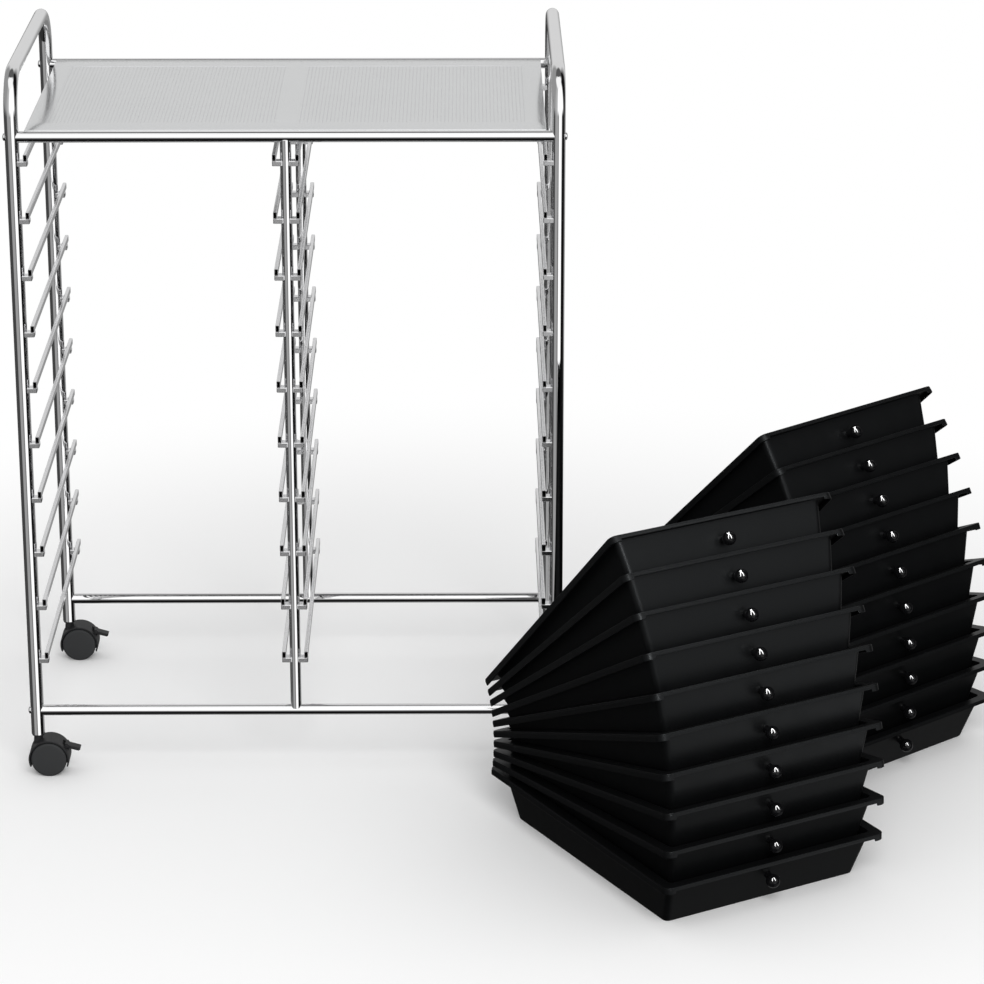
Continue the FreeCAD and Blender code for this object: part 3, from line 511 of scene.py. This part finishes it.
def caster_hood():
    """The moulding, with the stem's axis upright at zero on the floor."""
    shape = bmesh.new()
    x, z = polar(HOOD_RADIUS, HOOD_START)
    start = [shape.verts.new((x, y, z)) for y in (-HOOD_HALF, -SLOT_HALF, SLOT_HALF, HOOD_HALF)]
    edges = [shape.edges.new(pair) for pair in zip(start, start[1:])]
    bmesh.ops.spin(
        shape, geom=start + edges, cent=(0, 0, 0), axis=(0, -1, 0),
        angle=math.radians(HOOD_STEP * HOOD_STEPS), steps=HOOD_STEPS,
    )
    slot = []
    for face in shape.faces:
        middle = face.calc_center_median()
        if abs(middle.y) < SLOT_HALF and SLOT_LOW < rise_of(middle) < SLOT_HIGH:
            slot.append(face)
    bmesh.ops.delete(shape, geom=slot, context="FACES")
    face_outward(shape)
    if sum(face.normal.dot(face.calc_center_median()) for face in shape.faces) < 0:
        bmesh.ops.reverse_faces(shape, faces=shape.faces)
    bmesh.ops.solidify(shape, geom=shape.faces[:], thickness=HOOD_WALL)
    soften(shape, folded(shape.edges, RIGHT_FOLD), HOOD_EDGE)

    upright = Matrix.Translation((0, WEB_HALF, 0)) @ ACROSS
    disc = bmesh.ops.create_circle(
        shape, cap_ends=True, segments=WEB_SIDES, radius=WEB_RADIUS, matrix=upright
    )["verts"]
    for vert in disc:
        if SLOT_LOW - NOTCH_SPREAD < rise_of(vert.co) < SLOT_HIGH + NOTCH_SPREAD:
            vert.co.x = vert.co.x * NOTCH_RADIUS / WEB_RADIUS
            vert.co.z = vert.co.z * NOTCH_RADIUS / WEB_RADIUS
        vert.co.z = max(vert.co.z, -HOOD_DROP)
    web = bmesh.ops.extrude_face_region(shape, geom=list(disc[0].link_faces))["geom"]
    bmesh.ops.translate(shape, vec=(0, -2 * WEB_HALF, 0), verts=verts_in(web))
    bmesh.ops.translate(shape, vec=(WHEEL_TRAIL, 0, WHEEL_RADIUS), verts=shape.verts)

    collar_low = POST_FOOT - SEAT_GAP - COLLAR_HEIGHT
    hood_top = WHEEL_RADIUS + math.sqrt(HOOD_RADIUS ** 2 - WHEEL_TRAIL ** 2)
    neck_low = hood_top - NECK_ROOT
    neck_run = collar_low - neck_low
    bmesh.ops.create_cone(
        shape, cap_ends=True, segments=NECK_SIDES, radius1=NECK_FLARE * NECK_RADIUS, radius2=NECK_RADIUS,
        depth=neck_run, matrix=place_of(0, 0, neck_low + neck_run / 2),
    )
    add_rod(shape, COLLAR_RADIUS, COLLAR_HEIGHT, place_of(0, 0, collar_low + COLLAR_HEIGHT / 2))
    add_rod(shape, PEG_RADIUS, PEG_REACH, place_of(0, 0, collar_low + PEG_REACH / 2 + PEG_LIFT))
    ear_run = EAR_END - SLOT_HALF
    for hand in (-1, 1):
        ear = place_of(LEVER_X, hand * (SLOT_HALF + ear_run / 2), LEVER_Z)
        add_rod(shape, EAR_RADIUS, ear_run, ear @ ACROSS, PIN_SIDES)
    axle = place_of(WHEEL_TRAIL, 0, WHEEL_RADIUS) @ ACROSS
    add_rod(shape, AXLE_RADIUS, 2 * (HOOD_HALF - AXLE_INSET), axle, PIN_SIDES)
    face_outward(shape)
    return shape


def caster_wheels():
    """Both wheels, turned about the axle, which lies along Y at zero."""
    shape = bmesh.new()
    for hand in (-1, 1):
        corners = [shape.verts.new((radius, hand * y, 0)) for radius, y in WHEEL_PROFILE]
        edges = [shape.edges.new(pair) for pair in zip(corners, corners[1:] + corners[:1])]
        turn_full(shape, corners + edges, (0, 1, 0), WHEEL_STEPS)
    bmesh.ops.remove_doubles(shape, verts=shape.verts, dist=MERGE_REACH)
    face_outward(shape)
    return shape


def brake_lever():
    """The lever about its pivot, its cam to the wheels and its toe out."""
    shape = bmesh.new()
    flank = shape.faces.new([shape.verts.new((x, -LEVER_HALF, z)) for x, z in LEVER_PROFILE])
    far = bmesh.ops.extrude_face_region(shape, geom=[flank])["geom"]
    bmesh.ops.translate(shape, vec=(0, 2 * LEVER_HALF, 0), verts=verts_in(far))
    face_outward(shape)
    soften(shape, folded(shape.edges, LEVER_FOLD), LEVER_EDGE)
    return shape


for row, y in (("front", -HALF_DEPTH), ("rear", HALF_DEPTH)):
    for side, x in (("left", -HALF_WIDTH), ("right", HALF_WIDTH)):
        name = f"{row}_{side}_caster"
        stem = IN_CART @ place_of(x, y, 0)
        hub = stem @ place_of(WHEEL_TRAIL, 0, WHEEL_RADIUS)
        pivot = stem @ place_of(LEVER_X, 0, LEVER_Z) @ Matrix.Rotation(math.radians(LEVER_SLOPE), 4, "Y")
        piece = add_piece(f"{name}_moulding", caster_hood(), stem, name, "caster_plastic", caster_black)
        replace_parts(piece, f"{name}_hood")
        body = f"{name}_wheels"
        piece = add_piece(f"{name}_twin_wheels", caster_wheels(), hub, body, "wheel_plastic", wheel_black)
        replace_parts(piece, body)
        body = f"{name}_brake"
        piece = add_piece(f"{name}_foot_lever", brake_lever(), pivot, body, "brake_plastic", caster_black)
        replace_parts(piece, body)

# Drawers
# Each drawer is a drafted tray moulded in black plastic, with rounded corners and a rim that hooks over
# its rails. A boss inside the front takes the knob's stud and carries the front of the next in the stack.

TRAY_LENGTH, TRAY_HEIGHT, TRAY_WALL, TRAY_FLOOR, TRAY_CORNER = 321, 57, 1.9, 2.2, 6.8
END_DRAFT, SIDE_DRAFT = math.radians(20), math.radians(9)
FLOOR_HALF = 126.852
RIM_HALF, RIM_FRONT, RIM_REAR, RIM_CORNER, RIM_THICKNESS = 147, 351.873, -32.873, 8.6, 2.4
CORNER_STEPS, CORNER_EASE = 6, 1.5
LIP_DEPTH, LIP_THICKNESS, LIP_END, LIP_ROOT = 8, 2, 5, 0.6
FRONT_LIP_DEPTH, LIP_NUB, LIP_NUB_SLOPE = 5, 4, 0.6
BOSS_HALF, BOSS_FACE, BOSS_LOW, BOSS_HIGH = 8, 325.192, 22, 41.8
TRAY_FOLD, TRAY_EDGE, LIP_EDGE, BOSS_EDGE = 0.5, 0.7, 0.5, 0.5

drawer_black = new_finish(
    "drawer_black_plastic", color=(0.0022, 0.0023, 0.0025), drift_scale=14, drift_amount=0.15, metallic=0.0,
    specular=0.14, specular_tint=(0.95, 1.0, 1.03),
    Scale=45, Roughness=0.4, Spread=0.14, Ripple_Scale=2600, Ripple=0.15, Depth=0.0001,
)


def rounded(rear, front, half, radius, height):
    """The outline of a rectangle with rounded corners, each with a short straight run at both ends."""
    middles = (
        (front - radius, radius - half), (front - radius, half - radius),
        (rear + radius, half - radius), (rear + radius, radius - half),
    )
    outline = []
    for quarter, (x, y) in enumerate(middles):
        for step in range(-1, CORNER_STEPS + 2):
            share = min(max(step / CORNER_STEPS, 0), 1)
            dx, dy = polar(radius, 90 * (quarter + share - 1))
            ease = (step - share * CORNER_STEPS) * CORNER_EASE / radius
            outline.append((x + dx - ease * dy, y + dy + ease * dx, height))
    return outline


def wall_at(height, inset):
    """The outline of the tray's wall at a height, drawn in from its outer face."""
    lean = height * math.tan(END_DRAFT) - inset / math.cos(END_DRAFT)
    half = FLOOR_HALF + height * math.tan(SIDE_DRAFT) - inset / math.cos(SIDE_DRAFT)
    return rounded(-lean, TRAY_LENGTH + lean, half, TRAY_CORNER - inset, height)


def rim_at(height, inset=0):
    """The outline of the rim, drawn in from its outer edge."""
    return rounded(RIM_REAR + inset, RIM_FRONT - inset, RIM_HALF - inset, RIM_CORNER - inset, height)


def join(shape, rings):
    """The faces between each ring of corners and the next."""
    faces = []
    for first, second in zip(rings, rings[1:]):
        for corners in zip(first, first[1:] + first[:1], second[1:] + second[:1], second):
            faces.append(shape.faces.new(corners))
    return faces


def add_lip(shape):
    """The rim's turned-down edge, along both sides and round the front, less deep between its corners."""
    nub = RIM_HALF - RIM_CORNER - LIP_NUB
    outlines = []
    for inset in (0, LIP_THICKNESS):
        outline = rim_at(TRAY_HEIGHT, inset)
        half, front = RIM_HALF - inset, RIM_FRONT - inset
        middle = len(outline) // 4
        across = [(front, y, 0) for y in (-nub, LIP_NUB_SLOPE - nub, nub - LIP_NUB_SLOPE, nub)]
        ends = [(RIM_REAR + LIP_END, y, 0) for y in (-half, half)]
        outlines.append(ends[:1] + outline[:middle] + across + outline[middle:2 * middle] + ends[1:])
    root = TRAY_HEIGHT - RIM_THICKNESS + LIP_ROOT
    sections = []
    for (x, y, _), (inner_x, inner_y, _) in zip(*outlines):
        edge = TRAY_HEIGHT - (FRONT_LIP_DEPTH if abs(y) < nub else LIP_DEPTH)
        corners = (x, y, root), (x, y, edge), (inner_x, inner_y, edge), (inner_x, inner_y, root)
        sections.append([shape.verts.new(corner) for corner in corners])
    faces = [shape.faces.new(section) for section in (sections[0], sections[-1])]
    faces += join(shape, sections)
    bmesh.ops.recalc_face_normals(shape, faces=faces)
    soften(shape, folded({edge for face in faces for edge in face.edges}, TRAY_FOLD), LIP_EDGE)


def drawer_tray():
    """A tray with x to its front from the rear bottom edge, y across and z up."""
    shape = bmesh.new()
    under = TRAY_HEIGHT - RIM_THICKNESS
    outlines = (
        wall_at(TRAY_FLOOR, TRAY_WALL), wall_at(TRAY_HEIGHT, TRAY_WALL),
        rim_at(TRAY_HEIGHT), rim_at(under), wall_at(under, 0), wall_at(0, 0),
    )
    rings = [[shape.verts.new(corner) for corner in outline] for outline in outlines]
    join(shape, rings)
    for ring in (rings[0], rings[-1]):
        shape.faces.new(ring)
    face_outward(shape)
    soften(shape, folded(shape.edges, TRAY_FOLD), TRAY_EDGE)

    add_lip(shape)
    boss = bmesh.ops.create_cube(shape, size=1)["verts"]
    for vert in boss:
        height = BOSS_HIGH if vert.co.z > 0 else BOSS_LOW
        front = TRAY_LENGTH - TRAY_WALL / 2 + height * math.tan(END_DRAFT)
        vert.co = (front if vert.co.x > 0 else BOSS_FACE, 2 * BOSS_HALF * vert.co.y, height)
    soften(shape, edges_at(boss), BOSS_EDGE)
    return shape


# Knobs
# A glossy black ball on a short neck stands out from the middle of each drawer's front, square to its lean.
# Its stud goes through the wall into the boss. The drawers nest with their knobs in two fanned stacks.

KNOB_RADIUS, KNOB_CENTER, KNOB_HEIGHT = 8, 12, 33.5
KNOB_PROFILE = ((0.0, 0.02), (4.5, 0.02), (4.4, 0.6), (4.2, 2.0), (4.3, 4.2))
BALL_START, BALL_SWEEP, BALL_STEPS, KNOB_SIDES = -54, 144, 14, 32
NEST_SLIP, NEST_RISE, NEST_TILT = 7.2, 14.67116, 4.92992
STACK_COUNT = 10
NEAR_STACK = place_of(375.6, -258.4, 0, 29.85 - 90)
FAR_STACK = place_of(516.2, 82.1, 0, 40.2 - 90)

knob_black = new_finish(
    "knob_black_gloss", color=(0.004, 0.004, 0.0045), drift_scale=60, drift_amount=0.1, metallic=0.0,
    specular=0.2, Scale=90, Roughness=0.08, Spread=0.05, Ripple_Scale=300, Ripple=0.03, Depth=0.0001,
)


def ball_knob():
    """The knob, pointing up from its seat at zero."""
    shape = bmesh.new()
    outline = [shape.verts.new((x, 0, z)) for x, z in KNOB_PROFILE]
    for step in range(BALL_STEPS + 1):
        x, z = polar(KNOB_RADIUS, BALL_START + step * BALL_SWEEP / BALL_STEPS)
        outline.append(shape.verts.new((x, 0, KNOB_CENTER + z)))
    edges = [shape.edges.new(pair) for pair in zip(outline, outline[1:])]
    turn_full(shape, outline + edges, (0, 0, 1), KNOB_SIDES)
    bmesh.ops.remove_doubles(shape, verts=shape.verts, dist=MERGE_REACH)
    face_outward(shape)
    return shape


knob_x = TRAY_LENGTH + KNOB_HEIGHT * math.tan(END_DRAFT)
knob_seat = place_of(knob_x, 0, KNOB_HEIGHT) @ Matrix.Rotation(math.pi / 2 + END_DRAFT, 4, "Y")
nest_step = place_of(NEST_SLIP, 0, NEST_RISE) @ Matrix.Rotation(math.radians(-NEST_TILT), 4, "Y")
knobs = bpy.data.collections.new("knobs")
trays = bpy.data.collections.new("trays")
near_trays = bpy.data.collections.new("near_trays")
number = 0
for nest in (NEAR_STACK, FAR_STACK):
    for _ in range(STACK_COUNT):
        number += 1
        body = f"drawer_{number:02d}"
        place = IN_CART @ nest
        piece = add_piece(f"{body}_moulding", drawer_tray(), place, body, "drawer_plastic", drawer_black)
        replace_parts(piece, f"{body}_tray")
        trays.objects.link(piece)
        if number <= STACK_COUNT:
            near_trays.objects.link(piece)
        seat = place @ knob_seat
        piece = add_piece(f"{body}_ball_knob", ball_knob(), seat, body, "knob_plastic", knob_black)
        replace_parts(piece, f"{body}_knob")
        knobs.objects.link(piece)
        nest = nest @ nest_step

# Set
# A pale paper floor that fades to white, under an even white dome and one large soft lamp in front. Polished
# faces show a room of grey bands: a white wall ahead and to the right, a grey wall behind, and dark cards
# between them. Lamps that only show as reflections draw the glints on the drawers and their knobs.

FLOOR_REACH, FLOOR_GREY, FLOOR_ROUGHNESS = 30, 0.91, 0.9
FADE_START, FADE_END = 0.65, 1.5
WHITE = (1, 1, 1, 1)
DOME_STRENGTH = 0.78
FRONT_WALL, SIDE_WALL, BACK_WALL, BLACK_CARD = 1.1, 1.15, 0.68, 0.006
MIX_A, MIX_B, MIX_RESULT = 6, 7, 2
LAMP_SIZE, LAMP_POWER, LAMP_PLACE = 2.4, 82, (0.5, -3.3, 2.8)
CAMERA_PLACE = (-0.0576, -4.0648, 1.8165)
CAMERA_PITCH, CAMERA_YAW, CAMERA_LENS, SENSOR_WIDTH = 19.611, 0.40, 134.6, 36

floor_shape = bmesh.new()
bmesh.ops.create_grid(floor_shape, x_segments=1, y_segments=1, size=FLOOR_REACH)
floor_mesh = bpy.data.meshes.new("floor")
floor_shape.to_mesh(floor_mesh)
floor_shape.free()
floor = bpy.data.objects.new("floor", floor_mesh)
bpy.context.scene.collection.objects.link(floor)
floor.visible_glossy = False

paper = bpy.data.materials.new("floor_paper")
paper.use_nodes = True
sheet = paper.node_tree
surface = sheet.nodes["Principled BSDF"]
surface.inputs["Base Color"].default_value = (FLOOR_GREY, FLOOR_GREY, FLOOR_GREY, 1)
surface.inputs["Roughness"].default_value = FLOOR_ROUGHNESS
surface.inputs["Specular IOR Level"].default_value = 0.0
spot = new_node(sheet, "TexCoord")
away = new_node(sheet, "VectorMath", operation="LENGTH")
fade = new_node(
    sheet, "MapRange", {"From Min": FADE_START, "From Max": FADE_END}, interpolation_type="SMOOTHSTEP"
)
glow = new_node(sheet, "Emission")
faded = new_node(sheet, "MixShader")
link(
    sheet,
    (spot.outputs["Object"], away.inputs[0]),
    (away.outputs["Value"], fade.inputs["Value"]),
    (fade.outputs["Result"], faded.inputs["Fac"]),
    (surface.outputs[0], faded.inputs[1]),
    (glow.outputs[0], faded.inputs[2]),
    (faded.outputs[0], sheet.nodes["Material Output"].inputs["Surface"]),
)
floor_mesh.materials.append(paper)

world = bpy.data.worlds.new("room")
world.use_nodes = True
bpy.context.scene.world = world
room = world.node_tree
room.nodes.clear()
heading = new_node(room, "TexCoord")
parts = new_node(room, "SeparateXYZ")
forward = new_node(room, "Math", {1: -1}, operation="MULTIPLY")
angle = new_node(room, "Math", operation="ARCTAN2")
way_round = new_node(room, "Math", {1: 1 / (2 * math.pi), 2: 0.5}, operation="MULTIPLY_ADD")
link(
    room,
    (heading.outputs["Generated"], parts.inputs[0]),
    (parts.outputs["Y"], forward.inputs[0]),
    (parts.outputs["X"], angle.inputs[0]),
    (forward.outputs[0], angle.inputs[1]),
    (angle.outputs[0], way_round.inputs[0]),
)


def room_band(*stops):
    """A band of the room right round, from back to back: each stop is a bearing to the right and a grey."""
    ramp = new_node(room, "ValToRGB")
    elements = ramp.color_ramp.elements
    while len(elements) < len(stops):
        elements.new(1.0)
    for element, (bearing, grey) in zip(elements, stops):
        element.position = bearing / 360 + 0.5
        element.color = (grey, grey, grey, 1)
    room.links.new(way_round.outputs[0], ramp.inputs["Fac"])
    return ramp.outputs["Color"]


def stand_on(below, above, low, high):
    """One band on top of another, which goes over to it between two upward slopes of a ray."""
    mask = new_node(room, "MapRange", {"From Min": low, "From Max": high}, interpolation_type="SMOOTHSTEP")
    mixed = new_node(room, "Mix", data_type="RGBA")
    link(
        room,
        (parts.outputs["Z"], mask.inputs["Value"]),
        (mask.outputs["Result"], mixed.inputs["Factor"]),
        (below, mixed.inputs[MIX_A]),
        (above, mixed.inputs[MIX_B]),
    )
    return mixed.outputs[MIX_RESULT]


ground = room_band(
    (-180, 0.3), (-150, 0.3), (-140, 0.03), (-45, 0.03), (-25, BLACK_CARD), (22, BLACK_CARD), (38, 0.22),
    (180, 0.22),
)
low_cards = room_band(
    (-180, 0.055), (-60, 0.055), (-56, 0.34), (-14, 0.34), (-10, 0.18), (3, 0.18), (6, SIDE_WALL),
    (48, SIDE_WALL), (53, BLACK_CARD), (112, BLACK_CARD), (120, 0.3), (180, 0.3),
)
high_cards = room_band(
    (-180, BACK_WALL), (-158, BACK_WALL), (-145, 0.3), (-66, 0.3), (-58, 0.4), (-22, 0.5), (-16, FRONT_WALL),
    (4, FRONT_WALL), (8, SIDE_WALL), (68, SIDE_WALL), (84, BLACK_CARD), (125, BLACK_CARD), (150, BACK_WALL),
    (180, BACK_WALL),
)
ceiling = room_band((-180, 0.1), (-110, 0.1), (-90, 1.0), (90, 1.0), (110, 0.1), (180, 0.1))
bands = stand_on(ground, low_cards, -0.48, -0.42)
bands = stand_on(bands, high_cards, -0.24, 0.06)
bands = stand_on(bands, ceiling, 0.78, 0.88)
rays = new_node(room, "LightPath")
unscattered = new_node(room, "Math", {1: 0.5}, operation="LESS_THAN")
polished = new_node(room, "Math", operation="MULTIPLY")
dome = new_node(room, "Background", {"Color": WHITE, "Strength": DOME_STRENGTH})
backdrop = new_node(room, "Background", {"Color": WHITE})
cards = new_node(room, "Background")
behind = new_node(room, "MixShader")
mirrored = new_node(room, "MixShader")
out = new_node(room, "OutputWorld")
link(
    room,
    (rays.outputs["Is Camera Ray"], behind.inputs["Fac"]),
    (dome.outputs[0], behind.inputs[1]),
    (backdrop.outputs[0], behind.inputs[2]),
    (rays.outputs["Diffuse Depth"], unscattered.inputs[0]),
    (rays.outputs["Is Glossy Ray"], polished.inputs[0]),
    (unscattered.outputs[0], polished.inputs[1]),
    (bands, cards.inputs["Color"]),
    (polished.outputs[0], mirrored.inputs["Fac"]),
    (behind.outputs[0], mirrored.inputs[1]),
    (cards.outputs[0], mirrored.inputs[2]),
    (mirrored.outputs[0], out.inputs["Surface"]),
)

soft_light = bpy.data.lights.new("soft_lamp", "AREA")
soft_light.shape = "DISK"
soft_light.size = LAMP_SIZE
soft_light.energy = LAMP_POWER
soft_lamp = bpy.data.objects.new("soft_lamp", soft_light)
soft_lamp.location = LAMP_PLACE
soft_lamp.rotation_euler = (-soft_lamp.location).to_track_quat("-Z", "Y").to_euler()
soft_lamp.visible_glossy = False
bpy.context.scene.collection.objects.link(soft_lamp)


def add_strip(name, width, power, bearing, low, high, receivers, blockers=None):
    """A lamp that only shows as a reflection, between two points at a bearing: how far ahead and how high."""
    light = bpy.data.lights.new(name, "AREA")
    light.shape = "RECTANGLE"
    light.energy = power
    turn = math.radians(bearing)
    ends = [Vector((math.sin(turn) * far, -math.cos(turn) * far, height)) for far, height in (low, high)]
    along = ends[1] - ends[0]
    light.size, light.size_y = width, along.length
    across = Vector((math.cos(turn), math.sin(turn), 0))
    axes = Matrix((across, along.normalized(), across.cross(along).normalized())).transposed()
    lamp = bpy.data.objects.new(name, light)
    lamp.location = (ends[0] + ends[1]) / 2
    lamp.rotation_euler = axes.to_euler()
    lamp.visible_diffuse = False
    lamp.visible_camera = False
    lamp.light_linking.receiver_collection = receivers
    lamp.light_linking.blocker_collection = blockers
    bpy.context.scene.collection.objects.link(lamp)


add_strip("corner_strip", width=0.3, power=90, bearing=24, low=(2.5, 1.15), high=(2.5, 3.05), receivers=trays)
for side, bearing in (("left", -6), ("right", 40)):
    add_strip(
        f"{side}_knob_strip", width=0.4, power=620, bearing=bearing, low=(2.5, 0.9), high=(-2.5, 3.6),
        receivers=knobs,
    )
add_strip("rim_strip", width=1.8, power=36, bearing=65, low=(1.7, 2.4), high=(0.5, 3.2), receivers=trays)
add_strip(
    "floor_bounce", width=1.3, power=9, bearing=70, low=(2.4, -1.4), high=(2.4, 0.0), receivers=near_trays,
    blockers=near_trays,
)

view = bpy.data.cameras.new("view")
view.sensor_width = SENSOR_WIDTH
view.lens = CAMERA_LENS
camera = bpy.data.objects.new("view", view)
camera.location = CAMERA_PLACE
camera.rotation_euler = (math.radians(90 - CAMERA_PITCH), 0, math.radians(-CAMERA_YAW))
bpy.context.scene.collection.objects.link(camera)
bpy.context.scene.camera = camera
bpy.context.scene.view_settings.view_transform = "Standard"
